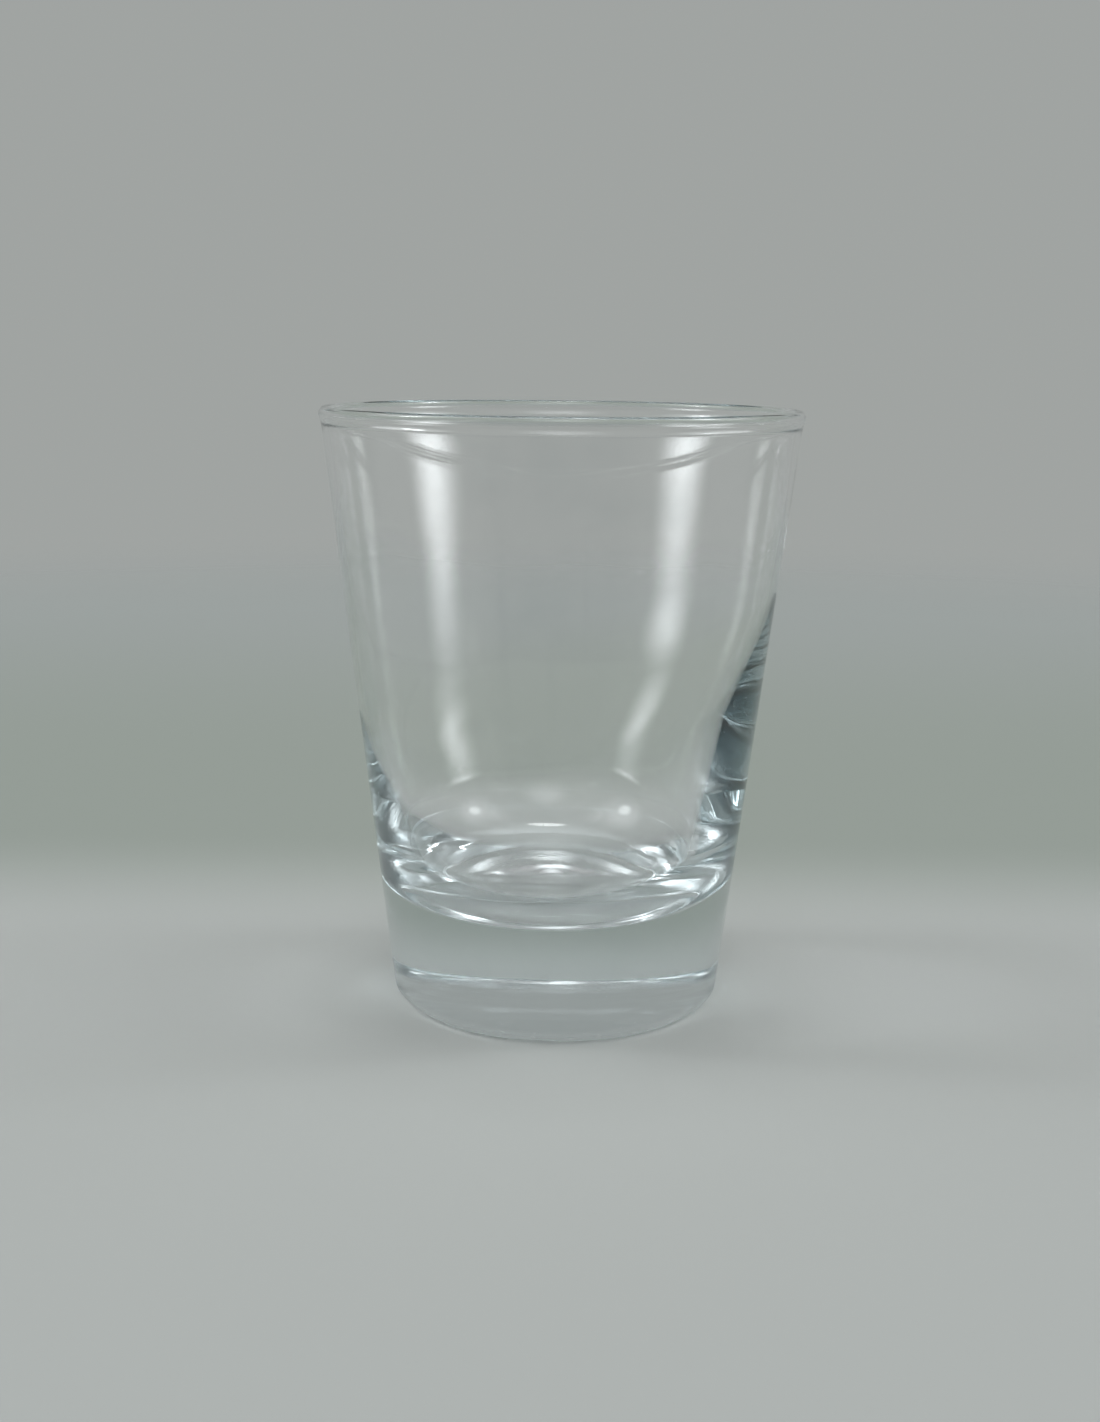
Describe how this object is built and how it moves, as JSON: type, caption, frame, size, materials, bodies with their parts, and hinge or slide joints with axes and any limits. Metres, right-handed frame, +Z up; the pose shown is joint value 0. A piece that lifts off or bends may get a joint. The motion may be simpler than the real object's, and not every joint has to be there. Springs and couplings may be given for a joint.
{
  "type": "rocks glass",
  "caption": "Clear conical tumbler with a thin flared wall, a beaded rim and a thick solid base, for short drinks over ice.",
  "frame": {"origin": "on the table, under the middle of the foot", "axes": "+Z up along the axis of the glass, towards the mouth; X and Y are any level pair, because the glass is round"},
  "size_m": [0.0798, 0.0798, 0.1],
  "materials": {
    "clear_glass": "clear, fire-polished"
  },
  "bodies": {
    "root": {"glass_tumbler": "clear_glass"}
  },
  "joints": []
}
